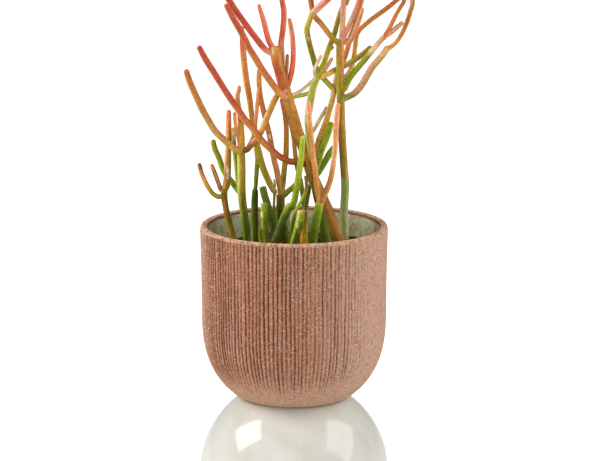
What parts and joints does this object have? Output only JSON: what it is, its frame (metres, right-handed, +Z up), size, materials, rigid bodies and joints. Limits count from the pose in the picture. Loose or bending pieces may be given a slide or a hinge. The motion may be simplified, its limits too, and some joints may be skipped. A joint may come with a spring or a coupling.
{
  "type": "potted pencil-stem succulent",
  "caption": "Pencil-stem succulent with green to red branching stems in a combed terracotta cup pot on a round glazed stand.",
  "frame": {"origin": "the middle of the ball stand's flat foot, where it rests on the table", "axes": "+Z up along the pot's axis, -Y towards the viewer of the picture, +X to the viewer's right"},
  "size_m": [0.2081, 0.1714, 0.5333],
  "materials": {
    "stand_glaze": "gloss",
    "pot_clay": "matte",
    "potting_mix": "matte",
    "stem_green": "satin",
    "stem_olive": "satin",
    "stem_orange": "satin",
    "stem_red": "satin"
  },
  "bodies": {
    "root": {"ball_stand": "stand_glaze", "pot": "pot_clay", "soil": "potting_mix", "stem_left_edge": "stem_orange", "stem_left_fork": "stem_olive", "stem_left_slim": "stem_olive", "stub_front_left": "stem_green", "stub_dark": "stem_green", "stem_front_leaning": "stem_green", "stem_middle_fork": "stem_orange", "stem_middle_thread": "stem_olive", "stem_middle_kinked": "stem_green", "stub_front_middle": "stem_green", "stem_yellow": "stem_olive", "stem_front_pair": "stem_orange", "stem_right_curved": "stem_olive", "stem_thick_leaning": "stem_red", "stem_right_edge": "stem_olive"}
  },
  "joints": []
}
